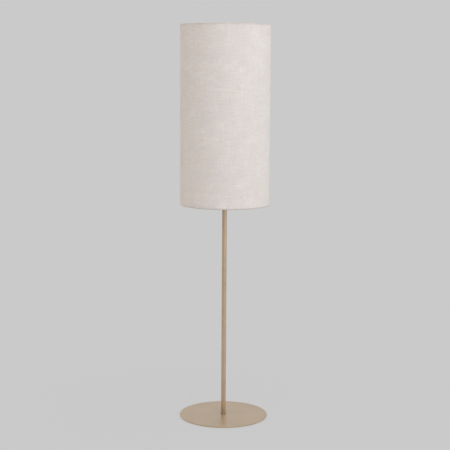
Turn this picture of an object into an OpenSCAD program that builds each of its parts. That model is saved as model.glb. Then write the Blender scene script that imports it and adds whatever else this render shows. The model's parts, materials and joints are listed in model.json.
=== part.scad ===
// Column floor lamp: a tall cloth cylinder on a slim tube stem with a flat disc base.
// Millimetres, +Z up, -Y is the front. The origin is on the floor, at the centre of the base.

/* [Base] */
// Diameter of the round base plate
base_d = 300; // [240:1:360]
// Thickness of the base plate
plate_t = 4; // [4:0.5:10]
// Rounding of the plate's edges
plate_edge_r = 0.8; // [0.3:0.1:1.5]
// Thickness of the felt under the plate
felt_t = 0.8; // [0.6:0.1:3]
// How far the felt stays in from the plate's edge
felt_inset = 10; // [4:1:30]
// Diameter of the hole in the felt, round the screw
felt_hole_d = 30; // [16:1:60]

/* [Base screw] */
// Thread diameter of the countersunk screw that holds the stem
screw_d = 6; // [4:0.5:6]
// Head diameter of that screw
screw_head_d = 12; // [10:0.5:12]
// Length of thread in the stem's foot
screw_bite = 9; // [6:0.5:12]
// Width across the flats of its socket
screw_hex = 4; // [2.5:0.5:4]
// Depth of its socket
screw_hex_depth = 2.2; // [1:0.1:2.5]

/* [Stem] */
// Outer diameter of the stem tubes
stem_d = 16; // [16:0.5:24]
// Wall of the stem tubes
stem_wall = 1.5; // [1:0.1:1.5]
// Length of the lower tube
lower_tube_len = 420; // [250:5:520]
// Chamfer at the meeting ends of the tubes
seam_chamfer = 0.25; // [0.1:0.05:0.5]
// How far the joiner reaches into each tube
joiner_reach = 25; // [15:1:40]
// Diameter of the cable way through the joiner
joiner_bore_d = 8; // [6:0.5:9]
// Length of the threaded foot insert
foot_insert_len = 14; // [13:0.5:30]
// Length of the threaded top insert
top_insert_len = 16; // [12:1:30]

/* [Cable entry] */
// Height of the entry's centre over the foot insert
entry_rise = 12; // [8:1:60]
// Diameter of the grommet's cable hole
entry_bore_d = 6; // [4:0.5:6.5]
// Rubber round the cable hole
grommet_wall = 1; // [0.6:0.1:1.2]
// How far the grommet's flange overlaps the tube
grommet_flange = 1.4; // [0.8:0.1:1.5]
// Thickness of the grommet's flange beyond the tube
grommet_flange_t = 1.8; // [1:0.1:4]
// How far the grommet's inner lip overlaps the tube
grommet_lip = 0.8; // [0.4:0.1:1]
// Thickness of the inner lip at its thinnest
grommet_lip_t = 0.8; // [0.5:0.1:1.5]

/* [Shade] */
// Outer diameter of the shade
shade_d = 300; // [220:1:400]
// Height of the shade
shade_h = 600; // [400:5:700]
// Height of the shade's lower rim over the floor
shade_bottom = 732; // [640:1:800]
// Thickness of the linen
linen_t = 0.8; // [0.4:0.1:1.2]
// Thickness of the plastic lining
lining_t = 0.5; // [0.3:0.1:1]
// Diameter of the wires in the rims
wire_d = 4; // [3:0.5:6]
// Width of the linen's overlap at the back
overlap_w = 14; // [8:1:30]
// Thickness of the overlap over the linen
overlap_t = 0.5; // [0.3:0.1:1]

/* [Shade carrier] */
// Height of the gallery over the shade's lower rim
spider_rise = 150; // [80:5:260]
// Number of arms
arm_count = 3; // [3:1:4]
// Diameter of the arms
arm_d = 3.5; // [2.5:0.5:5]
// Outer diameter of the gallery ring
gallery_d = 64; // [60:1:80]
// Thickness of the gallery ring
gallery_t = 2; // [1.5:0.1:3]
// Diameter of the gallery's hole
gallery_hole_d = 42; // [41.6:0.1:44]

/* [Lampholder] */
// Diameter over the lampholder's outer thread
holder_d = 39.5; // [38:0.1:39.5]
// Depth of the outer thread
holder_thread_depth = 0.7; // [0.3:0.1:0.9]
// Pitch of the outer thread
holder_pitch = 2.5; // [2:0.1:4]
// Plain height below and above the outer thread
holder_plain = 3; // [1:0.5:6]
// Height of the lower half
cap_h = 22; // [21:0.5:30]
// Height of the upper half
body_h = 35; // [34:0.5:40]
// Wall of the two halves, with the thread
holder_wall = 2.2; // [1.5:0.1:2.4]
// Height on the upper half at which the shade sits
seat_h = 16; // [10:0.5:20]
// Diameter of the boss on the stem
boss_d = 19; // [16:0.5:24]
// Height of the boss
boss_h = 8; // [7:0.5:9]
// Height of the wiring space over the boss
wiring_h = 5; // [4:0.5:5.5]
// Height of the insulating core
core_h = 16; // [14:0.5:18]
// Width of the shelf that the core stands on
core_shelf = 2; // [1:0.1:3]
// Diameter of the bore for the screw shell
shell_bore_d = 29.2; // [28.8:0.1:30]
// Bore of the mouth that keeps the shell in
mouth_d = 27.8; // [27.2:0.1:28]
// Height of the mouth
mouth_h = 1; // [0.6:0.1:2]

/* [Lampholder fixings] */
// Diameter of the hollow threaded nipple
nipple_d = 10; // [8:0.5:10]
// Bore of the nipple
nipple_bore_d = 7.4; // [5:0.1:7.5]
// Length of the nipple in the stem
nipple_in = 11; // [6:1:12]
// Length of the nipple in the lampholder
nipple_out = 9; // [6:0.5:10]
// Diameter of the grub screw in the boss
grub_d = 3; // [2.5:0.5:3]
// Height of the grub screw over the stem
grub_h = 4; // [2.5:0.5:5]
// Socket of the grub screw, across the flats
grub_hex = 1.5; // [1:0.1:1.5]
// Diameter of the terminal screws
terminal_d = 3; // [2:0.5:3.5]
// Head diameter of the terminal screws
terminal_head_d = 5.6; // [4.5:0.1:6]
// Head height of the terminal screws
terminal_head_h = 2; // [1:0.1:2.5]
// Width and depth of the slot in the terminal screws' heads
slot_w = 0.8; // [0.5:0.1:1]
// How far the terminal screws come through the contact strips
screw_past = 1; // [0.5:0.1:2]
// Distance of the terminal screws from the axis
terminal_x = 9; // [8.5:0.5:9.5]

/* [Contacts] */
// Thickness of the contact strips
strip_t = 0.5; // [0.3:0.1:0.8]
// Width of the contact strips
strip_w = 6; // [5:0.5:7]
// Height of the centre contact's tongue
tongue_h = 3; // [2:0.5:4]
// Sheet thickness of the screw shell and of the bulb's cap
sheet_t = 0.35; // [0.3:0.05:0.4]
// Height of the screw shell
shell_h = 21; // [15:0.5:21]

/* [Shade rings] */
// Outer diameter of the two ring nuts
ring_d = 56; // [52:0.5:58]
// Diameter of their hubs
ring_hub_d = 47; // [45:0.5:50]
// Height of their flanges
ring_flange_h = 2.6; // [1.5:0.1:4]
// Height of their hubs
ring_hub_h = 5.4; // [3:0.1:6]
// Height of the shoulder that centres the gallery
shoulder_h = 1.2; // [0.6:0.1:1.4]
// Number of finger grooves round a ring nut
ring_grooves = 24; // [12:1:30]
// Radius of the finger grooves
groove_r = 1.6; // [1:0.1:2]

/* [Bulb] */
// Widest diameter of the bulb
bulb_d = 60; // [56:1:64]
// Length of the bulb with its cap
bulb_len = 107; // [102:1:112]
// Diameter of the glass neck
bulb_neck_d = 25.2; // [24:0.1:25.2]
// Thickness of the glass
glass_t = 0.8; // [0.6:0.1:1.2]
// Radius of the curve from the neck to the head
bulb_neck_r = 45; // [35:1:50]
// Diameter over the cap's thread
bulb_cap_d = 26.2; // [25.8:0.1:26.2]
// Depth of the cap's thread
bulb_thread_depth = 0.8; // [0.4:0.1:0.9]
// Pitch of the cap's thread
bulb_pitch = 3.63; // [3:0.01:4]
// Number of turns of the cap's thread
bulb_turns = 4; // [3:1:4]
// Height of the plain skirt over the thread
bulb_skirt_h = 7; // [5:0.5:9]
// Height of the glass insulator under the cap
insulator_h = 4; // [3:0.5:5]
// Diameter of the solder tip
tip_d = 9; // [7:0.5:10]
// Height of the solder tip
tip_h = 1.2; // [0.8:0.1:2]
// Height of the mount's flare in the neck
flare_h = 12; // [8:0.5:16]
// Diameter of the mount's mast
mast_d = 4; // [3:0.1:5]
// Number of light strips round the mast
strip_count = 4; // [3:1:6]
// Length of the light strips
light_strip_len = 32; // [20:1:36]
// Diameter of the light strips
light_strip_d = 1.8; // [1.2:0.1:2.4]
// Diameter of the circle on which the light strips stand
light_circle_d = 10; // [8:0.5:14]
// Thickness of the driver's board
board_t = 1.2; // [0.8:0.1:1.6]
// Diameter of the driver's tall part
capacitor_d = 6; // [4:0.5:8]
// Height of the driver's tall part over its board
capacitor_h = 7; // [5:0.5:8]

/* [Clearances] */
// Gap between pieces that are pressed, glued, welded or screwed together
seat_gap = 0.05; // [0.02:0.01:0.08]
// Gap where the shade turns on its carrier
turn_gap = 0.05; // [0.03:0.01:0.1]
// Gap round an arm that passes through the linen
cloth_gap = 0.3; // [0.2:0.05:0.5]
// Gap between a rim's wire and the linen rolled round it
hem_gap = 0.3; // [0.2:0.05:0.4]
// Radial gap between the bulb's thread and the screw shell
thread_gap = 0.2; // [0.15:0.05:0.25]

/* [Hidden] */

$fn = 96;
disc_fn = 180;
wire_fn = 32;
thread_steps = 8;
past = 1;           // how far a cut runs past the face that it leaves
far = 400;          // longer than any piece is wide
shoulder_t = 1;     // thickness of the sloping shoulder of the lampholder's lower half
insulator_rim = 1;  // width of the insulator's face round the solder tip
neck_lift = 1;      // height of the glass neck's end over the step in the bulb's cap
flare_lift = 1;     // height of the mount's flare over the bulb's cap

champagne = [0.63, 0.55, 0.46];
linen_colour = [0.84, 0.80, 0.77];
felt_colour = [0.30, 0.28, 0.27];
white_wire = [0.88, 0.87, 0.85];
zinc = [0.62, 0.63, 0.65];
brass_colour = [0.75, 0.62, 0.33];
black_plastic = [0.10, 0.10, 0.10];
rubber_colour = [0.12, 0.11, 0.10];
core_white = [0.86, 0.84, 0.80];
opal = [0.94, 0.94, 0.92];
board_green = [0.16, 0.36, 0.22];
strip_yellow = [0.93, 0.78, 0.35];

// Heights of the stand, from the floor up
plate_top = felt_t + plate_t;
seam_z = plate_top + lower_tube_len;
entry_z = plate_top + foot_insert_len + entry_rise;
gallery_z = shade_bottom + spider_rise;

// Stem
stem_r = stem_d / 2;
stem_in_r = stem_r - stem_wall;
insert_r = stem_in_r - seat_gap;
screw_head_h = (screw_head_d - screw_d) / 2;

// Grommet, along its own axis from the stem's
grommet_neck_r = entry_bore_d / 2 + grommet_wall;
grommet_flange_r = grommet_neck_r + grommet_flange;
grommet_lip_r = grommet_neck_r + grommet_lip;
grommet_end = stem_r + grommet_flange_t;
grommet_start = sqrt(pow(insert_r, 2) - pow(grommet_lip_r, 2)) - grommet_lip_t;

// Lampholder
stem_top = gallery_z - cap_h - seat_h;
holder_top = stem_top + cap_h + body_h;
core_z = stem_top + boss_h + wiring_h;
core_top = core_z + core_h;
holder_r = holder_d / 2;
holder_turns = floor((body_h - 2 * holder_plain) / holder_pitch);
holder_in_r = holder_r - holder_wall;
core_r = holder_in_r - seat_gap;
boss_r = boss_d / 2;
mouth_z = holder_top - mouth_h;
shell_r = bulb_cap_d / 2 + thread_gap;
shell_wave = (shell_bore_d / 2 - shell_r - sheet_t - seat_gap) / 2;
shell_z = mouth_z - seat_gap - shell_h;

// Contact strips: they lie on the core and bend up beside their screws
bend_gap = 2;
strip_foot = core_top + seat_gap;
strip_bend = terminal_x - terminal_d / 2 - bend_gap;
contact_top = strip_foot + strip_t + tongue_h;

// Ring nuts
ring_h = ring_hub_h + ring_flange_h;
ring_in_r = holder_r + seat_gap;

// Shade
shade_r = shade_d / 2;
shade_top = shade_bottom + shade_h;
wire_r = wire_d / 2;
hem_r = wire_r + hem_gap + linen_t;
rim_r = shade_r - hem_r;
rim_low_z = shade_bottom + hem_r;
rim_high_z = shade_top - hem_r;
lining_r = shade_r - linen_t - seat_gap;
lining_low_z = rim_low_z + wire_r + seat_gap;
lining_high_z = rim_high_z - wire_r - seat_gap;
overlap_angle = 360 * overlap_w / (PI * shade_d);

// Arms run from the gallery's edge down to the lower wire
first_arm = -90;
arm_top_r = gallery_d / 2;
arm_drop = gallery_z + turn_gap + gallery_t / 2 - rim_low_z;
arm_run = rim_r - arm_top_r;
arm_len = sqrt(pow(arm_drop, 2) + pow(arm_run, 2));
arm_tilt = atan(arm_run / arm_drop);

// Bulb, measured from the tip of its cap
bulb_z = contact_top + seat_gap;
bulb_r = bulb_d / 2;
bulb_head_z = bulb_len - bulb_r;
bulb_bend_r = bulb_neck_d / 2 + bulb_neck_r;
bulb_bend_z = bulb_head_z - sqrt(pow(bulb_r + bulb_neck_r, 2) - pow(bulb_bend_r, 2));
thread_z = tip_h + insulator_h;
skirt_z = thread_z + bulb_turns * bulb_pitch;
bulb_cap_top = skirt_z + bulb_skirt_h;
neck_end_z = skirt_z + neck_lift;
cap_in_r = bulb_cap_d / 2 - bulb_thread_depth - sheet_t - seat_gap;
flare_z = bulb_cap_top + flare_lift;
mast_top = bulb_head_z + light_strip_len / 2;

// ---- shared shapes ----

// A round tube standing on z = 0
module tube(outer_r, inner_r, height) {
    difference() {
        cylinder(r = outer_r, h = height);
        translate([0, 0, -past]) cylinder(r = inner_r, h = height + 2 * past);
    }
}

// A tube with the hole in its middle taken out, standing at a height
module sleeve(outer_r, inner_r, z, height) {
    translate([0, 0, z]) tube(outer_r, inner_r, height);
}

// Turns what stands along +Z to lie along +Y, at a height
module rearward(z) {
    translate([0, 0, z]) rotate([-90, 0, 0]) children();
}

// Points of a round thread, drawn as rings, going up from a height
function wave(turns, pitch, mean_r, depth, z) = [
    for (i = [0 : turns * thread_steps])
        [mean_r + depth / 2 * cos(360 * i / thread_steps), z + pitch * i / thread_steps]
];

// The same points going down
function reversed(points) = [for (i = [len(points) - 1 : -1 : 0]) points[i]];

// ---- base ----

module base_plate() {
    color(champagne)
    difference() {
        translate([0, 0, felt_t]) rotate_extrude($fn = disc_fn) plate_profile();
        translate([0, 0, -past]) cylinder(d = screw_d + 2 * seat_gap, h = plate_top + 2 * past);
        translate([0, 0, felt_t])
            cylinder(d1 = screw_head_d + 2 * seat_gap, d2 = screw_d + 2 * seat_gap, h = screw_head_h);
        translate([0, 0, felt_t - past]) cylinder(d = screw_head_d + 2 * seat_gap, h = past);
    }
}

// Half section of the plate, with rounded edges
module plate_profile() {
    edge = base_d / 2 - plate_edge_r;
    square([edge, plate_t]);
    translate([0, plate_edge_r]) square([base_d / 2, plate_t - 2 * plate_edge_r]);
    for (z = [plate_edge_r, plate_t - plate_edge_r]) translate([edge, z])
        circle(r = plate_edge_r, $fn = 24);
}

module floor_felt() {
    color(felt_colour) tube(base_d / 2 - felt_inset, felt_hole_d / 2, felt_t, $fn = disc_fn);
}

module base_screw() {
    color(zinc)
    difference() {
        translate([0, 0, felt_t]) {
            cylinder(d1 = screw_head_d, d2 = screw_d, h = screw_head_h);
            cylinder(d = screw_d, h = plate_t + screw_bite);
        }
        translate([0, 0, felt_t - past])
            cylinder(r = screw_hex / sqrt(3), h = screw_hex_depth + past, $fn = 6);
    }
}

// ---- stem ----

module stem_foot_insert() {
    color(zinc)
    translate([0, 0, plate_top])
    difference() {
        cylinder(r = insert_r, h = foot_insert_len);
        translate([0, 0, -past]) cylinder(d = screw_d + 2 * seat_gap, h = screw_bite + seat_gap + past);
    }
}

// Half section of a tube wall, with a chamfer at the seam end
module tube_wall(low_z, high_z, low_cut, high_cut) {
    polygon([
        [stem_in_r, low_z], [stem_r - low_cut, low_z], [stem_r, low_z + low_cut],
        [stem_r, high_z - high_cut], [stem_r - high_cut, high_z], [stem_in_r, high_z]
    ]);
}

module stem_lower_tube() {
    color(champagne)
    difference() {
        rotate_extrude() tube_wall(plate_top, seam_z, 0, seam_chamfer);
        rearward(entry_z) cylinder(r = grommet_neck_r + seat_gap, h = stem_r + past);
    }
}

module stem_upper_tube() {
    color(champagne) rotate_extrude() tube_wall(seam_z, stem_top, seam_chamfer, 0);
}

module stem_joiner() {
    color(zinc) sleeve(insert_r, joiner_bore_d / 2, seam_z - joiner_reach, 2 * joiner_reach);
}

module stem_top_insert() {
    color(zinc) sleeve(insert_r, nipple_d / 2 + seat_gap, stem_top - top_insert_len, top_insert_len);
}

// ---- cable entry ----

module cable_grommet() {
    color(rubber_colour)
    difference() {
        union() {
            difference() {
                rearward(entry_z) cylinder(r = grommet_flange_r, h = grommet_end);
                cylinder(r = stem_r + seat_gap, h = far);
            }
            rearward(entry_z) translate([0, 0, grommet_start])
                cylinder(r = grommet_neck_r, h = grommet_end - grommet_start);
            intersection() {
                rearward(entry_z) translate([0, 0, grommet_start]) cylinder(r = grommet_lip_r, h = stem_r);
                cylinder(r = insert_r, h = far);
            }
        }
        rearward(entry_z) translate([0, 0, -past]) cylinder(d = entry_bore_d, h = grommet_end + 2 * past);
    }
}

// ---- lampholder ----

module holder_nipple() {
    color(zinc) sleeve(nipple_d / 2, nipple_bore_d / 2, stem_top - nipple_in, nipple_in + nipple_out);
}

module holder_cap() {
    color(black_plastic)
    translate([0, 0, stem_top])
    difference() {
        rotate_extrude() cap_profile();
        rearward(grub_h) cylinder(d = grub_d + 2 * seat_gap, h = boss_r + past);
    }
}

// Half section of the lower half: boss, sloping shoulder, and the cup that takes the core
module cap_profile() {
    floor_h = boss_h + wiring_h;
    polygon([
        [nipple_d / 2 + seat_gap, 0], [boss_r, 0], [boss_r, boss_h - shoulder_t],
        [holder_r - shoulder_t, floor_h - shoulder_t], [holder_r, floor_h],
        [holder_r, cap_h], [holder_in_r, cap_h], [holder_in_r, floor_h],
        [core_r - core_shelf, floor_h], [boss_r - shoulder_t, boss_h], [nipple_d / 2 + seat_gap, boss_h]
    ]);
}

module holder_grub_screw() {
    color(zinc)
    rearward(stem_top + grub_h)
    difference() {
        translate([0, 0, nipple_d / 2 + seat_gap])
            cylinder(d = grub_d, h = boss_r - nipple_d / 2 - seat_gap, $fn = 32);
        translate([0, 0, boss_r - grub_hex])
            cylinder(r = grub_hex / sqrt(3), h = grub_hex + past, $fn = 6);
    }
}

module holder_core() {
    color(core_white)
    difference() {
        translate([0, 0, core_z]) cylinder(r = core_r, h = core_h);
        for (side = [-1, 1]) translate([side * terminal_x, 0, core_z - past])
            cylinder(d = terminal_d + 2 * seat_gap, h = core_h + 2 * past, $fn = 32);
    }
}

module terminal_screws() {
    color(brass_colour)
    for (side = [-1, 1]) translate([side * terminal_x, 0, core_z]) {
        difference() {
            translate([0, 0, -terminal_head_h])
                cylinder(d = terminal_head_d, h = terminal_head_h, $fn = 32);
            translate([-terminal_head_d, -slot_w / 2, -terminal_head_h - past])
                cube([2 * terminal_head_d, slot_w, slot_w + past]);
        }
        cylinder(d = terminal_d, h = core_h + strip_t + screw_past, $fn = 32);
    }
}

// A bent strip, drawn in the XZ plane and as wide as the strips are
module strip(points) {
    rotate([90, 0, 0]) translate([0, 0, -strip_w / 2]) linear_extrude(strip_w) polygon(points);
}

// The hole that a terminal screw makes in a strip
module strip_hole(side) {
    translate([side * terminal_x, 0, core_top - past])
        cylinder(d = terminal_d + 2 * seat_gap, h = strip_t + 2 * past, $fn = 32);
}

module centre_contact() {
    pad = strip_w / 2;
    color(brass_colour)
    difference() {
        strip([
            [terminal_x + terminal_d, strip_foot], [terminal_x + terminal_d, strip_foot + strip_t],
            [strip_bend, strip_foot + strip_t], [pad, contact_top], [-pad, contact_top],
            [-pad, contact_top - strip_t], [pad - strip_t / 2, contact_top - strip_t],
            [strip_bend - strip_t / 2, strip_foot]
        ]);
        strip_hole(1);
    }
}

module side_contact() {
    leg = sqrt(pow(shell_bore_d / 2 - 2 * seat_gap, 2) - pow(strip_w / 2, 2));
    leg_top = shell_z - seat_gap;
    color(brass_colour)
    difference() {
        strip([
            [-strip_bend, strip_foot], [-leg, strip_foot], [-leg, leg_top],
            [-leg + strip_t, leg_top], [-leg + strip_t, strip_foot + strip_t],
            [-strip_bend, strip_foot + strip_t]
        ]);
        strip_hole(-1);
    }
}

module screw_shell() {
    rings = floor(shell_h / bulb_pitch);
    low = shell_z + (shell_h - rings * bulb_pitch) / 2;
    inner = wave(rings, bulb_pitch, shell_r + shell_wave, 2 * shell_wave, low);
    outer = wave(rings, bulb_pitch, shell_r + shell_wave + sheet_t, 2 * shell_wave, low);
    crest = 2 * shell_wave;
    color(brass_colour)
    rotate_extrude()
    polygon(concat(
        [[shell_r + crest, shell_z]], inner, [[shell_r + crest, shell_z + shell_h]],
        [[shell_r + crest + sheet_t, shell_z + shell_h]], reversed(outer),
        [[shell_r + crest + sheet_t, shell_z]]
    ));
}

module holder_body() {
    color(black_plastic)
    rotate_extrude()
    translate([0, stem_top + cap_h]) body_profile();
}

// Half section of the upper half: outer thread, core seat, shell bore and mouth
module body_profile() {
    root = holder_r - holder_thread_depth;
    low = (body_h - holder_turns * holder_pitch) / 2;
    step = core_top + seat_gap - stem_top - cap_h;
    polygon(concat(
        [[holder_in_r, seat_gap], [holder_r, seat_gap]],
        wave(holder_turns, holder_pitch, holder_r - holder_thread_depth / 2, holder_thread_depth, low),
        [
            [root, body_h], [mouth_d / 2, body_h], [mouth_d / 2, body_h - mouth_h],
            [shell_bore_d / 2, body_h - mouth_h], [shell_bore_d / 2, step], [holder_in_r, step]
        ]
    ));
}

// ---- ring nuts that hold the shade ----

// A ring nut with its flange at the top and its hub below, standing on z = 0
module ring_nut() {
    difference() {
        union() {
            cylinder(d = ring_hub_d, h = ring_h);
            translate([0, 0, ring_hub_h]) cylinder(d = ring_d, h = ring_flange_h);
        }
        translate([0, 0, -past]) cylinder(r = ring_in_r, h = ring_h + 2 * past);
        for (i = [0 : ring_grooves - 1]) rotate(360 * i / ring_grooves)
            translate([ring_d / 2 + groove_r / 2, 0, ring_hub_h - past])
                cylinder(r = groove_r, h = ring_flange_h + 2 * past, $fn = 24);
    }
}

module lower_shade_ring() {
    color(black_plastic) {
        translate([0, 0, gallery_z - ring_h]) ring_nut();
        sleeve(gallery_hole_d / 2 - turn_gap, ring_in_r, gallery_z, shoulder_h);
    }
}

module upper_shade_ring() {
    color(black_plastic)
    translate([0, 0, gallery_z + gallery_t + 2 * turn_gap + ring_h])
        mirror([0, 0, 1]) ring_nut();
}

// ---- shade ----

module shade_linen() {
    color(linen_colour)
    difference() {
        union() {
            rotate_extrude($fn = disc_fn) linen_profile();
            rotate(90 - overlap_angle / 2) rotate_extrude(angle = overlap_angle, $fn = disc_fn)
                translate([shade_r - linen_t / 2, shade_bottom + 2 * hem_r])
                    square([linen_t / 2 + overlap_t, shade_h - 4 * hem_r]);
        }
        arms(arm_d / 2 + cloth_gap, 0);
    }
}

// Half section of the linen: the wall, and the hems rolled round the two wires
module linen_profile() {
    straight = rim_high_z - rim_low_z;
    translate([shade_r - linen_t, rim_low_z]) square([linen_t, straight]);
    hem(rim_low_z, -1);
    hem(rim_high_z, 1);
}

// A hem: from the wall over the rim and round the wire, ending under it
module hem(z, way) {
    translate([rim_r, z]) mirror([0, way < 0 ? 1 : 0])
    difference() {
        circle(r = hem_r, $fn = wire_fn);
        circle(r = wire_r + hem_gap, $fn = wire_fn);
        translate([0, -hem_r - past]) square([hem_r + past, hem_r + past]);
    }
}

module shade_lining() {
    color(white_wire)
    sleeve(lining_r, lining_r - lining_t, lining_low_z, lining_high_z - lining_low_z, $fn = disc_fn);
}

// A wire ring in a rim
module rim_wire(z) {
    rotate_extrude($fn = disc_fn) translate([rim_r, z]) circle(r = wire_r, $fn = wire_fn);
}

module shade_top_wire() {
    color(white_wire) rim_wire(rim_high_z);
}

module shade_bottom_wire() {
    color(white_wire) rim_wire(rim_low_z);
}

module gallery_ring() {
    color(white_wire)
    sleeve(gallery_d / 2, gallery_hole_d / 2, gallery_z + turn_gap, gallery_t);
}

// The arms' straight rods, from the lower wire's centre up to the gallery and a little more
module arms(radius, extra) {
    for (i = [0 : arm_count - 1]) rotate(first_arm + 360 * i / arm_count)
        translate([rim_r, 0, rim_low_z]) rotate([0, -arm_tilt, 0])
            cylinder(r = radius, h = arm_len + extra, $fn = wire_fn);
}

module spider_arms() {
    color(white_wire)
    difference() {
        arms(arm_d / 2, arm_d);
        translate([0, 0, gallery_z - arm_d]) cylinder(r = arm_top_r + seat_gap, h = 3 * arm_d);
        rotate_extrude($fn = disc_fn)
            translate([rim_r, rim_low_z]) circle(r = wire_r + seat_gap, $fn = wire_fn);
    }
}

// ---- bulb ----

// Half section of the glass, with its skin taken in
module glass_outline(inset) {
    bend = [bulb_bend_r, bulb_bend_z];
    head = [0, bulb_head_z];
    reach = (bulb_r - inset) / (bulb_r + bulb_neck_r);
    touch = head + reach * (bend - head);
    neck = bulb_neck_d / 2 - inset;
    intersection() {
        union() {
            translate(head) circle(r = bulb_r - inset);
            difference() {
                polygon([
                    [0, neck_end_z - inset], [neck, neck_end_z - inset], [neck, bulb_bend_z], touch, head
                ]);
                translate(bend) circle(r = bulb_neck_r + inset, $fn = disc_fn);
            }
        }
        square([far, far]);
    }
}

module bulb_glass() {
    color(opal)
    translate([0, 0, bulb_z])
    rotate_extrude()
    difference() {
        glass_outline(0);
        glass_outline(glass_t);
    }
}

module bulb_cap() {
    mean_r = (bulb_cap_d - bulb_thread_depth) / 2;
    outer = wave(bulb_turns, bulb_pitch, mean_r, bulb_thread_depth, thread_z);
    skirt_r = bulb_neck_d / 2 + seat_gap;
    inner = [for (p = outer) [p[0] - sheet_t, p[1]]];
    color(zinc)
    translate([0, 0, bulb_z])
    rotate_extrude()
    polygon(concat(
        outer, [[bulb_cap_d / 2, bulb_cap_top], [skirt_r, bulb_cap_top], [skirt_r, skirt_z + sheet_t]],
        reversed(inner)
    ));
}

module bulb_insulator() {
    height = insulator_h + bulb_pitch / 2 - seat_gap;
    color(black_plastic)
    translate([0, 0, bulb_z + tip_h + seat_gap])
        cylinder(r1 = tip_d / 2 + insulator_rim, r2 = cap_in_r, h = height);
}

module bulb_tip() {
    color(zinc)
    translate([0, 0, bulb_z])
        cylinder(d1 = tip_d - 2 * tip_h, d2 = tip_d, h = tip_h);
}

// The round board in the cap, with its one tall part
module bulb_driver() {
    color(board_green)
    translate([0, 0, bulb_z + thread_z + 2 * bulb_pitch]) {
        cylinder(r = cap_in_r, h = board_t);
        translate([capacitor_d / 2, 0, 0]) cylinder(d = capacitor_d, h = board_t + capacitor_h);
    }
}

// The glass mount: a flare that closes the neck, and the mast of the light strips
module bulb_stem() {
    flare_r = bulb_neck_d / 2 - glass_t - seat_gap;
    color(opal)
    translate([0, 0, bulb_z + flare_z]) {
        cylinder(r = flare_r, h = glass_t);
        cylinder(r1 = flare_r - glass_t, r2 = mast_d / 2, h = flare_h);
        cylinder(d = mast_d, h = mast_top - flare_z);
    }
}

// Light strips that stand round the mast, held by a collar at each end
module bulb_light_strips() {
    collar_r = mast_d / 2 + seat_gap;
    color(strip_yellow)
    translate([0, 0, bulb_z + mast_top - light_strip_len]) {
        for (z = [0, light_strip_len - light_strip_d])
            sleeve(light_circle_d / 2, collar_r, z, light_strip_d);
        for (i = [0 : strip_count - 1]) rotate(360 * i / strip_count)
            translate([light_circle_d / 2, 0, 0]) cylinder(d = light_strip_d, h = light_strip_len);
    }
}

base_plate();
floor_felt();
base_screw();
stem_foot_insert();
stem_lower_tube();
stem_joiner();
stem_upper_tube();
stem_top_insert();
cable_grommet();
holder_nipple();
holder_cap();
holder_grub_screw();
holder_core();
terminal_screws();
side_contact();
centre_contact();
screw_shell();
holder_body();
lower_shade_ring();
upper_shade_ring();
shade_linen();
shade_lining();
shade_top_wire();
shade_bottom_wire();
gallery_ring();
spider_arms();
bulb_glass();
bulb_cap();
bulb_insulator();
bulb_tip();
bulb_driver();
bulb_stem();
bulb_light_strips();
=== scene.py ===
"""Column floor lamp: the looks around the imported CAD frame. Metres, +Z up, -Y is the front."""
import json
import math

import bpy
import numpy as np
from mathutils import Matrix, Vector, noise


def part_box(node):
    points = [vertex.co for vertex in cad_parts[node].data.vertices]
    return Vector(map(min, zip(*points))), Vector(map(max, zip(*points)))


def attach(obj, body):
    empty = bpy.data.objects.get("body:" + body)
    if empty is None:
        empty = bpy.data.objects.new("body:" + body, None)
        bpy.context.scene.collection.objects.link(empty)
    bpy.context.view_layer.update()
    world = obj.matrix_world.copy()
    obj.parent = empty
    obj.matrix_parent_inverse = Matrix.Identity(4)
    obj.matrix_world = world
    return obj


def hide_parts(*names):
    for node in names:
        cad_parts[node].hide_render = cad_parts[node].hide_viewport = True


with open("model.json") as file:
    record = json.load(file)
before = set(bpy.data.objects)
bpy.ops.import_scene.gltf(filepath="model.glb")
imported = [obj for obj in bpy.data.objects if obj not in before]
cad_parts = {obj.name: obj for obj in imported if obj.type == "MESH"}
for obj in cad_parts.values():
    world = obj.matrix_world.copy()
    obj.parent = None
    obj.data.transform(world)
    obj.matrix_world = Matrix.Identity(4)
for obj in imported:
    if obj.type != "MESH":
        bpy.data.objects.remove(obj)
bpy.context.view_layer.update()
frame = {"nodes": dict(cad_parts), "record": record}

MM = 0.001

# ---- camera, fitted to the outlines of shade, stem and base in the photograph ----

PHOTO_PX = 450
FOCAL_PX = 1161
SENSOR_MM = 36
CAMERA_AT = (0.0019, -3.888, 1.198)
CAMERA_DOWN = math.radians(7.84)
CAMERA_ROLL = math.radians(0.345)


def make_camera():
    data = bpy.data.cameras.new("camera")
    data.sensor_width = SENSOR_MM
    data.lens = FOCAL_PX / PHOTO_PX * SENSOR_MM
    camera = bpy.data.objects.new("camera", data)
    turn = Matrix.Rotation(math.pi / 2 - CAMERA_DOWN, 4, "X") @ Matrix.Rotation(CAMERA_ROLL, 4, "Z")
    camera.matrix_world = Matrix.Translation(CAMERA_AT) @ turn
    bpy.context.scene.collection.objects.link(camera)
    bpy.context.scene.camera = camera


make_camera()
bpy.context.scene.view_settings.view_transform = "Standard"


# ---- node trees ----

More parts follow.
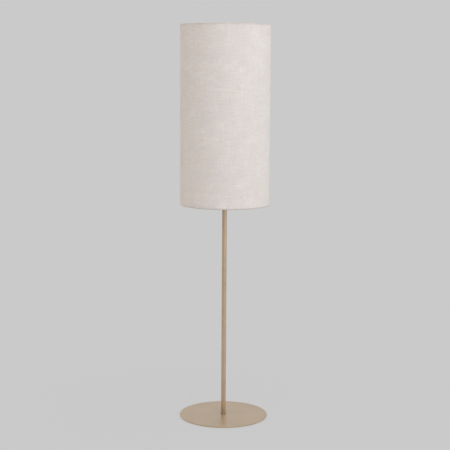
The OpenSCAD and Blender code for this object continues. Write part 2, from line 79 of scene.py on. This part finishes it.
class Tree:
    """A node tree, with short calls for the nodes that the finishes share."""

    def __init__(self, tree):
        self.tree = tree
        self.tree.nodes.clear()

    def node(self, kind, inputs=None, **settings):
        """A new node. Inputs go by name or number: a number, a colour or another node's output."""
        made = self.tree.nodes.new("ShaderNode" + kind)
        for name, value in settings.items():
            setattr(made, name, value)
        for key, value in (inputs or {}).items():
            if isinstance(value, bpy.types.NodeSocket):
                self.tree.links.new(value, made.inputs[key])
            else:
                made.inputs[key].default_value = value
        return made

    def math(self, operation, a, b=0.0, c=0.0):
        return self.node("Math", {0: a, 1: b, 2: c}, operation=operation).outputs[0]

    def place(self):
        """Where a point of a CAD node is, in the row frame."""
        return self.node("TexCoord").outputs["Object"]

    def scaled(self, vector, scale):
        """A vector stretched by three numbers, to draw a pattern out along an axis."""
        return self.node("VectorMath", {0: vector, 1: scale}, operation="MULTIPLY").outputs[0]

    def length(self, vector):
        return self.node("VectorMath", {0: vector}, operation="LENGTH").outputs["Value"]

    def noise(self, vector, scale, detail=2.0, roughness=0.5):
        """Noise from about 0 to 1. Scale is the number of waves in a metre."""
        inputs = {"Vector": vector, "Scale": scale, "Detail": detail, "Roughness": roughness}
        return self.node("TexNoise", inputs).outputs["Fac"]

    def spread(self, value, low, high, start=0.0, end=1.0):
        """A value that runs from low to high, made to run from start to end."""
        inputs = {"Value": value, "From Min": low, "From Max": high, "To Min": start, "To Max": end}
        return self.node("MapRange", inputs).outputs[0]

    def mix(self, factor, a, b):
        """Colour a, going over to colour b."""
        node = self.node("Mix", data_type="RGBA")
        for socket, value in ((node.inputs[0], factor), (node.inputs[6], a), (node.inputs[7], b)):
            if isinstance(value, bpy.types.NodeSocket):
                self.tree.links.new(value, socket)
            else:
                socket.default_value = value
        return node.outputs[2]

    def bump(self, height, depth, before=None):
        """A normal from a height of 0 to 1 and its depth in metres, on top of another normal."""
        inputs = {"Height": height, "Distance": depth, "Strength": 1.0}
        if before is not None:
            inputs["Normal"] = before
        return self.node("Bump", inputs).outputs[0]

    def surface(self, shader):
        self.node("OutputMaterial", {"Surface": shader.outputs[0]})


def rgb(red, green, blue):
    """A colour as it is read off a screen, from 0 to 255, for a shader's socket."""
    def linear(value):
        value /= 255
        return value / 12.92 if value <= 0.04045 else ((value + 0.055) / 1.055) ** 2.4
    return (linear(red), linear(green), linear(blue), 1.0)


def shade_of(colour, times):
    """A colour made darker or lighter."""
    return tuple(min(1.0, part * times) for part in colour[:3]) + (1.0,)


def new_material(name):
    """A material and its empty tree."""
    material = bpy.data.materials.new(name)
    material.use_nodes = True
    return material, Tree(material.node_tree)


# ---- finishes, one for each material slot of the record ----

# Painted shade in the corner between stem and plate: its strength, where it starts to fade and where it
# ends
CORNER_SHADE = 0.42
CORNER_NEAR, CORNER_FAR = 6 * MM, 42 * MM
CORNER_NARROW = 6.0       # how many times narrower it is on the plate than it is high on the stem


def champagne_coat():
    """Satin lacquer over a champagne metallic coat, with a fine orange peel, and painted shade at the
    stem's foot.
    """
    material, t = new_material("champagne_coat")
    place = t.place()
    parts = t.node("SeparateXYZ", {0: place}).outputs
    from_axis = t.length(t.scaled(place, (1.0, 1.0, 0.0)))
    beside = t.math("SUBTRACT", from_axis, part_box("stem_lower_tube")[1].x)
    over = t.math("SUBTRACT", parts["Z"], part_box("base_plate")[1].z)
    corner = t.node("CombineXYZ", {0: t.math("MULTIPLY", beside, CORNER_NARROW), 1: over}).outputs[0]
    painted_corner_shade = t.spread(t.length(corner), CORNER_NEAR, CORNER_FAR, CORNER_SHADE, 0.0)
    cloud = t.spread(t.noise(place, 14, 3), 0.3, 0.7)
    fleck = t.spread(t.noise(place, 2600, 1), 0.35, 0.65)
    colour = t.mix(cloud, rgb(182, 156, 124), rgb(198, 170, 138))
    colour = t.mix(t.math("MULTIPLY", fleck, 0.25), colour, rgb(206, 181, 152))
    # Painted shade: the coat darkens towards the corner where stem meets plate
    colour = t.mix(painted_corner_shade, colour, rgb(112, 86, 64))
    peel = t.bump(t.noise(place, 700, 2), 0.012 * MM)
    grain = t.bump(t.noise(place, 3500, 1), 0.005 * MM, peel)
    t.surface(t.node("BsdfPrincipled", {
        "Base Color": colour, "Metallic": 0.7, "Normal": grain,
        "Roughness": t.spread(cloud, 0, 1, 0.38, 0.43), "Coat Weight": 0.9, "Coat Roughness": 0.3,
    }))
    return material


def felt():
    """Dark pressed felt: matted fibres and a little fluff."""
    material, t = new_material("felt")
    place = t.place()
    fibre = t.noise(t.scaled(place, (1.0, 0.25, 1.0)), 1400, 4, 0.7)
    across = t.noise(t.scaled(place, (0.25, 1.0, 1.0)), 1400, 4, 0.7)
    fluff = t.math("MAXIMUM", fibre, across)
    colour = t.mix(t.spread(fluff, 0.45, 0.75), rgb(58, 54, 51), rgb(96, 91, 87))
    t.surface(t.node("BsdfPrincipled", {
        "Base Color": colour, "Roughness": 1.0, "Sheen Weight": 0.4, "Sheen Roughness": 0.6,
        "Normal": t.bump(fluff, 0.25 * MM),
    }))
    return material


def plated(name, dull, bright, roughness, lines, along=(1.0, 1.0, 1.0)):
    """Plated or rolled metal: fine lines, cloudy polish and a few dull spots."""
    material, t = new_material(name)
    place = t.place()
    line = t.noise(t.scaled(place, along), lines, 3, 0.6)
    cloud = t.noise(place, 220, 3)
    spots = t.spread(t.noise(place, 700, 2), 0.60, 0.72)
    colour = t.mix(t.spread(cloud, 0.3, 0.7), dull, bright)
    colour = t.mix(t.math("MULTIPLY", spots, 0.3), colour, shade_of(dull, 0.7))
    rough = t.math("ADD", t.spread(line, 0.3, 0.7, roughness - 0.06, roughness + 0.06),
                   t.math("MULTIPLY", spots, 0.12))
    t.surface(t.node("BsdfPrincipled", {
        "Base Color": colour, "Metallic": 1.0, "Roughness": rough, "Normal": t.bump(line, 0.012 * MM),
    }))
    return material


def moulded(name, colour, roughness, speck, depth=0.02, specular=0.5):
    """Moulded plastic, rubber or ceramic: a fine skin, a cloudy shine and small specks."""
    material, t = new_material(name)
    place = t.place()
    skin = t.noise(place, 1800, 2)
    cloud = t.noise(place, 60, 3)
    specks = t.spread(t.noise(place, 1100, 1), 0.66, 0.74)
    tone = t.mix(t.spread(cloud, 0.3, 0.7), shade_of(colour, 0.88), shade_of(colour, 1.1))
    tone = t.mix(t.math("MULTIPLY", specks, 0.5), tone, speck)
    t.surface(t.node("BsdfPrincipled", {
        "Base Color": tone, "Roughness": t.spread(cloud, 0.3, 0.7, roughness - 0.07, roughness + 0.07),
        "Specular IOR Level": specular, "Normal": t.bump(skin, depth * MM),
    }))
    return material


def white_wire():
    """White powder coat on wire, with a fine peel, greyed by handling in patches."""
    material, t = new_material("white_wire")
    place = t.place()
    peel = t.noise(place, 1100, 2)
    handled = t.spread(t.noise(place, 40, 4, 0.6), 0.5, 0.75)
    colour = t.mix(t.math("MULTIPLY", handled, 0.5), rgb(228, 226, 221), rgb(204, 200, 193))
    t.surface(t.node("BsdfPrincipled", {
        "Base Color": colour, "Roughness": t.spread(handled, 0, 1, 0.38, 0.52),
        "Normal": t.bump(peel, 0.03 * MM),
    }))
    return material


THROUGH_LINER = 0.12      # share of the light on the film that goes through it
THROUGH_LINEN = 0.2       # and on the linen


def shade_liner():
    """White shade film, matt, with the cloth behind it showing through as a faint weave."""
    material, t = new_material("shade_liner")
    place = t.place()
    weft = t.noise(t.scaled(place, (12.0, 12.0, 600.0)), 1, 3)
    cloud = t.noise(place, 25, 3)
    tone = t.math("ADD", t.spread(weft, 0.3, 0.7, 0, 0.6), t.spread(cloud, 0.3, 0.7, 0, 0.4))
    colour = t.mix(tone, rgb(240, 237, 232), rgb(247, 245, 241))
    matt = t.node("BsdfPrincipled", {
        "Base Color": colour, "Roughness": 0.55, "Normal": t.bump(weft, 0.03 * MM),
    })
    through = t.node("BsdfTranslucent", {"Color": rgb(236, 224, 208)})
    t.surface(t.node("MixShader", {0: THROUGH_LINER, 1: matt.outputs[0], 2: through.outputs[0]}))
    return material


def opal_glass():
    """Frosted white bulb glass, a little cloudy."""
    material, t = new_material("opal_glass")
    place = t.place()
    cloud = t.noise(place, 45, 3)
    colour = t.mix(t.spread(cloud, 0.3, 0.7), rgb(240, 240, 236), rgb(247, 247, 244))
    t.surface(t.node("BsdfPrincipled", {
        "Base Color": colour, "Roughness": t.spread(cloud, 0.3, 0.7, 0.22, 0.30),
        "Subsurface Weight": 0.3, "Subsurface Radius": (0.004, 0.004, 0.004), "Coat Weight": 0.2,
        "Normal": t.bump(t.noise(place, 260, 2), 0.02 * MM),
    }))
    return material


def clear_glass():
    """Pressed clear glass with a few waves in it."""
    material, t = new_material("clear_glass")
    place = t.place()
    wave = t.noise(place, 180, 2)
    t.surface(t.node("BsdfPrincipled", {
        "Base Color": t.mix(wave, rgb(232, 238, 234), rgb(245, 248, 246)), "Roughness": 0.06,
        "IOR": 1.5, "Transmission Weight": 0.9, "Normal": t.bump(wave, 0.05 * MM),
    }))
    return material


def board():
    """Green circuit board: lacquer, with fine tracks."""
    material, t = new_material("board")
    place = t.place()
    tracks = t.node("TexBrick", {
        "Vector": t.scaled(place, (1.0, 1.0, 0.0)), "Scale": 350.0, "Mortar Size": 0.012,
        "Color1": rgb(28, 92, 52), "Color2": rgb(24, 80, 46), "Mortar": rgb(74, 132, 82),
    })
    lacquer = t.spread(t.noise(place, 300), 0.3, 0.7, 0.3, 0.4)
    t.surface(t.node("BsdfPrincipled", {
        "Base Color": tracks.outputs["Color"], "Roughness": lacquer,
        "Normal": t.bump(tracks.outputs["Fac"], 0.03 * MM),
    }))
    return material


def light_strip():
    """Yellow phosphor over a row of small dies."""
    material, t = new_material("light_strip")
    place = t.place()
    rows = t.node("TexWave", {"Vector": place, "Scale": 160.0, "Distortion": 0.4},
                  bands_direction="Z").outputs["Fac"]
    t.surface(t.node("BsdfPrincipled", {
        "Base Color": t.mix(rows, rgb(226, 186, 74), rgb(242, 208, 104)), "Roughness": 0.5,
        "Normal": t.bump(rows, 0.05 * MM),
    }))
    return material


# The linen's yarns: their spacing, across and up
WARP_PITCH = 1.05 * MM
WEFT_PITCH = 0.95 * MM
# HEM_SHADE and LOWER_HEM set painted shade on the hems, darkened for light that doesn't reach them
HEM_SHADE = 0.32          # how much darker the upper hem is, where no light comes through past the wire
LOWER_HEM = 0.45          # the lower hem's share of that, for it gets light from the floor


def linen():
    """Plain weave of uneven linen yarns. The attribute "cloth" is each point's place on the flat cloth."""
    material, t = new_material("linen")
    flat = t.node("Attribute", attribute_name="cloth").outputs["Vector"]
    parts = t.node("SeparateXYZ", {0: flat})
    across, up = parts.outputs[0], parts.outputs[1]

    def wander(scale, size):
        """The yarns don't run quite straight."""
        return t.math("MULTIPLY", t.math("SUBTRACT", t.noise(flat, scale, 1), 0.5), size)

    def yarns(way, pitch, along, other_way, seed):
        """Thread profile from 0 to 1, tone, slubs and number of the yarn. A tone drifts along its yarn."""
        count = t.math("DIVIDE", t.math("ADD", way, wander(70, 1.6 * MM)), pitch)
        number = t.math("FLOOR", count)
        inside = t.math("SUBTRACT", count, number)
        profile = t.math("SINE", t.math("MULTIPLY", inside, math.pi))
        stretch = t.node("CombineXYZ", {0: t.math("MULTIPLY", other_way, along),
                                        1: t.math("MULTIPLY", number, 3.37), 2: seed}).outputs[0]
        tone = t.node("TexNoise", {"Vector": stretch, "Scale": 1.0, "Detail": 3.0,
                                   "Roughness": 0.65}).outputs["Fac"]
        longer = t.node("CombineXYZ", {0: t.math("MULTIPLY", other_way, along * 0.7),
                                       1: t.math("MULTIPLY", number, 5.11), 2: seed + 40}).outputs[0]
        slub = t.node("TexNoise", {"Vector": longer, "Scale": 1.0, "Detail": 1.0}).outputs["Fac"]
        return profile, tone, t.spread(slub, 0.60, 0.76), number

    weft, weft_tone, weft_slub, row = yarns(up, WEFT_PITCH, 38.0, across, 2.0)
    warp, warp_tone, warp_slub, column = yarns(across, WARP_PITCH, 30.0, up, 9.0)
    over = t.math("PINGPONG", t.math("ADD", row, column), 1.0)
    height = t.node("Mix", {0: over, 2: weft, 3: warp}, data_type="FLOAT").outputs[0]
    painted_gap_shade = t.math("POWER", t.math("MULTIPLY", weft, warp), 0.5)

    # Colour: cream yarns, some greyer and some warmer, with large soft patches over them
    tone = t.math("ADD", t.spread(weft_tone, 0.3, 0.7, 0, 0.6), t.spread(warp_tone, 0.3, 0.7, 0, 0.4))
    colour = t.mix(tone, rgb(204, 192, 183), rgb(251, 244, 240))
    patch = t.noise(t.scaled(flat, (1.0, 1.6, 1.0)), 16, 3)
    colour = t.mix(t.spread(patch, 0.35, 0.65, 0, 0.5), colour, rgb(219, 209, 206))
    warm = t.noise(flat, 27, 2)
    colour = t.mix(t.spread(warm, 0.45, 0.7, 0, 0.3), colour, rgb(221, 214, 200))
    slubs = t.math("MAXIMUM", weft_slub, t.math("MULTIPLY", warp_slub, 0.5))
    colour = t.mix(t.math("MULTIPLY", slubs, 0.35), colour, rgb(202, 190, 180))
    # Painted shade in the gaps between the yarns
    colour = t.mix(t.spread(painted_gap_shade, 0.0, 0.55, 0.30, 0.0), colour, rgb(160, 148, 138))
    # Painted shade on the hems, from the mesh's hem attribute
    hem = t.node("Attribute", attribute_name="hem").outputs["Fac"]
    colour = t.mix(t.math("MULTIPLY", hem, HEM_SHADE), colour, rgb(150, 141, 134))

    relief = t.bump(t.math("ADD", height, t.math("MULTIPLY", slubs, 0.9)), 0.10 * MM)
    fuzz = t.bump(t.noise(flat, 5200, 2), 0.03 * MM, relief)
    cloth = t.node("BsdfPrincipled", {
        "Base Color": colour, "Roughness": 0.92, "Specular IOR Level": 0.2, "Normal": fuzz,
        "Sheen Weight": 0.25, "Sheen Roughness": 0.45, "Sheen Tint": rgb(240, 236, 230),
    })
    through = t.node("BsdfTranslucent", {"Color": rgb(232, 214, 194)})
    t.surface(t.node("MixShader", {0: THROUGH_LINEN, 1: cloth.outputs[0], 2: through.outputs[0]}))
    return material


finishes = {
    "champagne_coat": champagne_coat(),
    "felt": felt(),
    "zinc": plated("zinc", rgb(168, 170, 174), rgb(206, 208, 212), 0.34, 900, (1.0, 1.0, 0.2)),
    "grommet_rubber": moulded("grommet_rubber", rgb(40, 38, 35), 0.72, rgb(62, 59, 55), 0.03, 0.3),
    "holder_plastic": moulded("holder_plastic", rgb(38, 37, 37), 0.36, rgb(54, 52, 50)),
    "core_ceramic": moulded("core_ceramic", rgb(224, 220, 210), 0.6, rgb(176, 168, 156), 0.04),
    "contact_brass": plated("contact_brass", rgb(190, 152, 84), rgb(218, 184, 116), 0.28, 1200,
                            (0.2, 1.0, 1.0)),
    "linen": linen(),
    "shade_liner": shade_liner(),
    "white_wire": white_wire(),
    "opal_glass": opal_glass(),
    "clear_glass": clear_glass(),
    "bulb_metal": plated("bulb_metal", rgb(186, 187, 188), rgb(216, 217, 218), 0.26, 1400,
                         (0.15, 0.15, 1.0)),
    "insulator_black": moulded("insulator_black", rgb(34, 34, 38), 0.14, rgb(70, 70, 76), 0.01),
    "solder": plated("solder", rgb(178, 178, 174), rgb(212, 212, 208), 0.38, 500),
    "board": board(),
    "light_strip": light_strip(),
}

for part in frame["record"]["subparts"]:
    finish = finishes[part["material_slot"]]
    slots = frame["nodes"][part["node"]].data.materials
    slots.clear()
    slots.append(finish)


# ---- the linen: one strip of cloth, wound once round the shade and rolled round both wires ----

CLOTH_T = 0.8 * MM        # the cloth's thickness
UNDER_T = 0.35 * MM       # its thickness where it is pressed under the overlap
OVERLAP = 14 * MM         # how far its end lies over its start
OVERLAP_RISE = 0.5 * MM   # how far the overlap stands out from the cloth
RAMP = 8 * MM             # the way over which the end climbs onto the start
STEP_DOWN = 1.2 * MM      # the way over which the start thins under the end
EDGE_ROUND = 0.6 * MM     # rounding of the end's folded edge
LAID_GAP = 0.03 * MM      # gap between the end and the start that it lies on
HEM_WRAP = 270            # how far a hem goes round its wire, in degrees
SLIT_WRAP = 172           # how far it goes where an arm comes through
SLIT_HALF, SLIT_EASE = 2.4 * MM, 1.4 * MM
ARMS_AT = (150, 270, 390)  # degrees, in the order in which the cloth meets the arms
HEM_ROWS = 16
WALL_ROWS = 36            # evenly spaced, with these close to each rim as well
RIM_ROWS = (1.5 * MM, 3 * MM, 4.5 * MM, 7 * MM)
COLUMN_STEP = 2.1 * MM
END_COLUMNS = (-1.2, -0.6, -0.3, -0.12, 0, 0.12, 0.3, 0.6, 1.2)   # more columns round an end, in mm from it
SLIT_COLUMNS, SLIT_REACH = 25, 4.2 * MM                           # and round a slit
CLOSEST_COLUMNS = 0.08 * MM
PUCKER = 0.13 * MM        # depth of the small folds on the inner side of a hem
WRAP_UNEVEN = 14          # how much less than HEM_WRAP a hem goes round in places, in degrees

random = np.random.default_rng(7)


def smooth(value, start, end):
    """0 before start, 1 after end, and an even curve between them."""
    share = np.clip((value - start) / (end - start), 0, 1)
    return share * share * (3 - 2 * share)


def ripple(angle, waves, size):
    """An uneven wave along the rim, made of a few sines with random phases. Angle is in radians."""
    total = np.zeros_like(angle)
    for count in waves:
        total += np.sin(count * angle + random.uniform(0, 2 * math.pi)) / len(waves)
    return size * total


def cloth_columns(radius):
    """Where the mesh's columns are along the cloth, from its start. They are closer at ends and slits."""
    whole = 2 * math.pi * radius + OVERLAP
    places = list(np.arange(0, whole, COLUMN_STEP)) + [whole]
    for end in (0.0, OVERLAP, whole - OVERLAP, whole):
        places += [end + step * MM for step in END_COLUMNS]
    for arm in ARMS_AT:
        middle = math.radians(arm - 90) * radius + OVERLAP / 2
        places += list(middle + np.linspace(-SLIT_REACH, SLIT_REACH, SLIT_COLUMNS))
    places = np.unique(np.round([p for p in places if 0 <= p <= whole], 6))
    keep = np.concatenate([[True], np.diff(places) > CLOSEST_COLUMNS])
    return places[keep], whole


def quads(a, b, c, d):
    """Faces from four equal grids of vertex numbers."""
    return np.stack([part.ravel() for part in (a, b, c, d)], axis=-1)


def make_linen():
    """The cloth as a closed thin mesh. Its attribute "cloth" is each point's place on the flat cloth."""
    low_wire, high_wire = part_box("shade_bottom_wire"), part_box("shade_top_wire")
    wire_r = (low_wire[1].z - low_wire[0].z) / 2
    rim_r = low_wire[1].x - wire_r
    low_z, high_z = low_wire[0].z + wire_r, high_wire[0].z + wire_r
    shade_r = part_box("shade_linen")[1].x
    hem_r = shade_r - rim_r - CLOTH_T / 2
    along, whole = cloth_columns(shade_r)
    angle = math.pi / 2 + (along - OVERLAP / 2) / shade_r

    # How far each column's hem goes round the lower wire: less at the slits, and never quite even
    low_uneven = np.abs(ripple(angle, (23, 41, 67, 113), WRAP_UNEVEN))
    high_uneven = np.abs(ripple(angle, (19, 37, 71, 109), WRAP_UNEVEN))
    slit = np.zeros_like(angle)
    for arm in ARMS_AT:
        away = np.abs(angle - math.radians(arm)) * rim_r
        slit = np.maximum(slit, 1 - smooth(away, SLIT_HALF, SLIT_HALF + SLIT_EASE))
    low_wrap = (HEM_WRAP - low_uneven) * (1 - slit) + SLIT_WRAP * slit
    high_wrap = HEM_WRAP - high_uneven

    # Rows go from the end of the upper hem, over the rim, down the wall and round the lower wire
    share = np.linspace(0, 1, HEM_ROWS + 1)
    high_turn = np.radians(high_wrap)[None, :] * (1 - share)[:, None]
    low_turn = np.radians(low_wrap)[None, :] * share[:, None]
    near = np.array(RIM_ROWS)
    levels = np.linspace(high_z, low_z, WALL_ROWS + 1)[1:-1]
    levels = np.concatenate([high_z - near, levels, (low_z + near)[::-1]])
    wall = levels[:, None] * np.ones_like(angle)
    level = np.concatenate([high_z + hem_r * np.sin(high_turn), wall, low_z - hem_r * np.sin(low_turn)])
    still = np.zeros_like(wall)
    turn = np.concatenate([high_turn, still, low_turn])
    upright = np.concatenate([np.sin(high_turn), still, -np.sin(low_turn)])
    path = np.concatenate([high_z + hem_r * high_turn, wall, low_z - hem_r * low_turn])
    out = rim_r + hem_r * np.cos(turn)

    # The cloth's two faces, as distances from its middle
    on_wall = 1 - 0.55 * smooth(turn, 0, math.pi / 2)
    climb = smooth(along, whole - OVERLAP - RAMP, whole - OVERLAP - 0.3 * MM)
    under = 1 - smooth(along, OVERLAP, OVERLAP + STEP_DOWN)
    rounding = smooth(along, whole - EDGE_ROUND, whole) * 0.35 * OVERLAP_RISE
    face = CLOTH_T / 2 + on_wall * OVERLAP_RISE * climb - (CLOTH_T - UNDER_T) * under - rounding
    back = -CLOTH_T / 2 + (UNDER_T + LAID_GAP) * climb
    inner_side = smooth(turn, math.radians(80), math.radians(150))
    pucker = ripple(angle, (89, 97, 131, 149, 173), PUCKER) * inner_side
    sway = np.concatenate([0 * high_turn, np.ones_like(wall), 0 * low_turn])
    settle = smooth(np.minimum(high_z - level, level - low_z), 0, 40 * MM)
    drift = ripple(angle, (3, 5, 8, 13), 0.12 * MM) + ripple(level / 0.1, (1, 2, 3), 0.08 * MM)
    face = face + pucker + sway * settle * drift
    back = back + pucker + 0 * turn

    def points(distance):
        radius = out + distance * np.cos(turn)
        height = level + distance * upright
        return np.stack([radius * np.cos(angle), radius * np.sin(angle), height], axis=-1)

    rows, columns = turn.shape
    vertices = np.concatenate([points(face).reshape(-1, 3), points(back).reshape(-1, 3)])
    number = np.arange(rows * columns).reshape(rows, columns)
    inner = number + rows * columns

    faces = np.concatenate([
        quads(number[:-1, :-1], number[1:, :-1], number[1:, 1:], number[:-1, 1:]),
        quads(inner[:-1, :-1], inner[:-1, 1:], inner[1:, 1:], inner[1:, :-1]),
        quads(number[0, :-1], number[0, 1:], inner[0, 1:], inner[0, :-1]),
        quads(number[-1, 1:], number[-1, :-1], inner[-1, :-1], inner[-1, 1:]),
        quads(number[1:, 0], number[:-1, 0], inner[:-1, 0], inner[1:, 0]),
        quads(number[:-1, -1], number[1:, -1], inner[1:, -1], inner[:-1, -1]),
    ])
    mesh = bpy.data.meshes.new("linen_cloth")
    mesh.from_pydata(vertices.tolist(), [], faces.tolist())
    mesh.shade_smooth()
    mesh.set_sharp_from_angle(angle=math.radians(50))
    flat = np.stack([along[None, :] + 0 * turn, path, 0 * turn], axis=-1).reshape(-1, 3)
    cloth = mesh.attributes.new("cloth", "FLOAT_VECTOR", "POINT")
    cloth.data.foreach_set("vector", np.concatenate([flat, flat]).astype(np.float32).ravel())
    # The hem attribute marks where the hems get painted shade, less of it on the lower hem
    hem = 1 - smooth(np.minimum(high_z - level, level - low_z) + 0 * turn, 0, 4 * MM)
    hem = np.where(turn > 0, 1.0, hem) * np.where(level < (low_z + high_z) / 2, LOWER_HEM, 1.0)
    hem_layer = mesh.attributes.new("hem", "FLOAT", "POINT")
    hem_layer.data.foreach_set("value", np.concatenate([hem, hem]).astype(np.float32).ravel())
    mesh.materials.append(finishes["linen"])
    piece = bpy.data.objects.new("linen_cloth", mesh)
    bpy.context.scene.collection.objects.link(piece)
    hem_run = hem_r * math.radians(HEM_WRAP)
    return piece, (whole, high_z - low_z + 2 * hem_run)


linen_cloth, flat_size = make_linen()
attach(linen_cloth, "shade")
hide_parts("shade_linen")


# ---- the felt: a ring cut from pressed felt and glued under the plate ----

FELT_COLUMNS = 300
FELT_RINGS = 60
FELT_CUT = 0.2 * MM       # how unevenly its edges are cut
FELT_ROUND = 0.6 * MM     # how far in from an edge the lower face curves up
FELT_NAP = 0.12 * MM      # depth of the hollows in the lower face
FELT_TUFTS = 260          # tufts in a metre


def make_felt():
    """The felt as a closed mesh, with uneven cut edges and a soft matted lower face."""
    low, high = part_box("floor_felt")
    inner_r = min(math.hypot(v.co.x, v.co.y) for v in frame["nodes"]["floor_felt"].data.vertices)
    outer_r = high.x
    angle = np.linspace(0, 2 * math.pi, FELT_COLUMNS, endpoint=False)
    outer_edge = outer_r - FELT_CUT + ripple(angle, (7, 13, 29, 53, 97), FELT_CUT)
    inner_edge = inner_r + FELT_CUT + ripple(angle, (3, 5, 11, 17), FELT_CUT)
    # Rings lie evenly, with these shares of the rounding close to each edge as well
    near = FELT_ROUND * np.array([0, 0.15, 0.4, 0.7, 1]) / (outer_r - inner_r)
    even = np.linspace(0, 1, FELT_RINGS + 1)[1:-1]
    share = np.concatenate([near, even, 1 - near[::-1]])[:, None]
    radius = inner_edge + (outer_edge - inner_edge) * share
    x, y = radius * np.cos(angle), radius * np.sin(angle)
    spots = [Vector(spot) * FELT_TUFTS for spot in zip(x.ravel(), y.ravel(), 0 * x.ravel())]
    tufts = np.array([noise.fractal(spot, 0.6, 2.0, 3) for spot in spots]).reshape(x.shape)
    nap = FELT_NAP * np.clip(0.5 + 0.5 * tufts, 0, 1)
    from_edge = np.minimum(radius - inner_edge, outer_edge - radius)
    curl = 0.5 * (high.z - low.z) * (1 - smooth(from_edge, 0, FELT_ROUND))
    lower = np.stack([x, y, low.z + nap + curl], axis=-1)
    upper = np.stack([x, y, high.z + 0 * x], axis=-1)

    rings = len(share)
    number = np.arange(rings * FELT_COLUMNS).reshape(rings, FELT_COLUMNS)
    after = np.roll(number, -1, axis=1)
    top, top_after = number + number.size, after + number.size
    faces = np.concatenate([
        quads(number[:-1], after[:-1], after[1:], number[1:]),
        quads(top[:-1], top[1:], top_after[1:], top_after[:-1]),
        quads(number[0], top[0], top_after[0], after[0]),
        quads(number[-1], after[-1], top_after[-1], top[-1]),
    ])
    vertices = np.concatenate([lower.reshape(-1, 3), upper.reshape(-1, 3)])
    mesh = bpy.data.meshes.new("felt_pad")
    mesh.from_pydata(vertices.tolist(), [], faces.tolist())
    mesh.shade_smooth()
    mesh.set_sharp_from_angle(angle=math.radians(50))
    mesh.materials.append(finishes["felt"])
    piece = bpy.data.objects.new("felt_pad", mesh)
    bpy.context.scene.collection.objects.link(piece)
    return piece, 2 * outer_r, math.pi * (outer_r ** 2 - inner_r ** 2)


felt_pad, felt_width, felt_area = make_felt()
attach(felt_pad, "stand")
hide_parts("floor_felt")


# ---- floor, backdrop and light ----

BACKDROP = rgb(202, 202, 202)
FLOOR_R = 16.0
FLOOR_COLUMNS = 120
FLOOR_DROP = 0.2 * MM
FLOOR_OPEN = 0.985        # the floor is open under this share of the plate's radius, for light on the felt
SHADOW_NEAR, SHADOW_FAR = 0.3, 1.1   # the floor's share of shadow falls from here to here
SHADOW_SHARE = 0.25
FLOOR_LIGHT = 1.27        # how much light the floor gets, for it to render as the backdrop
AMBIENT_COLOUR = (1.0, 0.985, 0.965, 1.0)
AMBIENT_LEVEL, AMBIENT_ABOVE = 1.42, 0.98   # the light from all round, and from straight above
WINDOW_AT, WINDOW_TOWARDS = (1.2, -1.35, 1.6), (0, 0, 1.3)
WINDOW_WIDTH, WINDOW_HEIGHT = 1.8, 2.4
WINDOW_POWER = 20.4
WINDOW_COLOUR = (0.73, 0.865, 1.0)


def seen_directly(t):
    """1 for a ray that shows the backdrop itself: from the camera, or by way of gloss or glass."""
    rays = t.node("LightPath").outputs
    shine = t.math("MAXIMUM", rays["Is Glossy Ray"], rays["Is Transmission Ray"])
    return t.math("MAXIMUM", rays["Is Camera Ray"], shine)


def make_floor():
    """A round floor, open under the plate. Away from the lamp it shows the backdrop's own colour."""
    material, t = new_material("floor")
    takes_shadow = t.spread(t.length(t.place()), SHADOW_NEAR, SHADOW_FAR, SHADOW_SHARE, 0.0)
    plain_tone = shade_of(BACKDROP, 1 / FLOOR_LIGHT)
    grain = t.mix(t.noise(t.place(), 30, 2), shade_of(plain_tone, 0.99), shade_of(plain_tone, 1.01))
    lit = t.node("BsdfDiffuse", {"Color": grain})
    plain = t.node("Emission", {"Color": BACKDROP})
    shown = t.node("MixShader", {0: takes_shadow, 1: plain.outputs[0], 2: lit.outputs[0]})
    both = t.node("MixShader", {0: seen_directly(t), 1: lit.outputs[0], 2: shown.outputs[0]})
    # Seen from below it is clear, so that the underside of the base shows
    from_below = t.math("MULTIPLY", t.node("NewGeometry").outputs["Backfacing"],
                        t.node("LightPath").outputs["Is Camera Ray"])
    clear = t.node("BsdfTransparent")
    t.surface(t.node("MixShader", {0: from_below, 1: both.outputs[0], 2: clear.outputs[0]}))
    opening_r = FLOOR_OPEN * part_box("base_plate")[1].x
    turns = np.linspace(0, 2 * math.pi, FLOOR_COLUMNS, endpoint=False)
    points = [(r * math.cos(a), r * math.sin(a), -FLOOR_DROP) for r in (opening_r, FLOOR_R) for a in turns]
    number = np.arange(FLOOR_COLUMNS)
    after = np.roll(number, -1)
    faces = quads(number, number + FLOOR_COLUMNS, after + FLOOR_COLUMNS, after)
    mesh = bpy.data.meshes.new("floor")
    mesh.from_pydata(points, [], faces.tolist())
    mesh.materials.append(material)
    floor = bpy.data.objects.new("floor", mesh)
    bpy.context.scene.collection.objects.link(floor)


def make_world():
    """Soft light from all round. What the camera, gloss and glass see of it is the backdrop's colour."""
    world = bpy.data.worlds.new("studio")
    bpy.context.scene.world = world
    world.use_nodes = True
    t = Tree(world.node_tree)
    upward = t.node("SeparateXYZ", {0: t.node("TexCoord").outputs["Generated"]}).outputs["Z"]
    strength = t.spread(upward, 0, 1, AMBIENT_LEVEL, AMBIENT_ABOVE)
    ambient = t.node("Background", {"Color": AMBIENT_COLOUR, "Strength": strength})
    backdrop = t.node("Background", {"Color": BACKDROP})
    shown = t.node("MixShader", {0: seen_directly(t), 1: ambient.outputs[0], 2: backdrop.outputs[0]})
    t.node("OutputWorld", {"Surface": shown.outputs[0]})


def softbox(name, place, target, width, height, power, colour):
    """An area light that faces a point."""
    data = bpy.data.lights.new(name, "AREA")
    data.shape = "RECTANGLE"
    data.size = width
    data.size_y = height
    data.energy = power
    data.color = colour
    light = bpy.data.objects.new(name, data)
    light.location = place
    light.rotation_mode = "QUATERNION"
    light.rotation_quaternion = (Vector(target) - Vector(place)).to_track_quat("-Z", "Y")
    bpy.context.scene.collection.objects.link(light)


make_floor()
make_world()
softbox("window", WINDOW_AT, WINDOW_TOWARDS, WINDOW_WIDTH, WINDOW_HEIGHT, WINDOW_POWER, WINDOW_COLOUR)
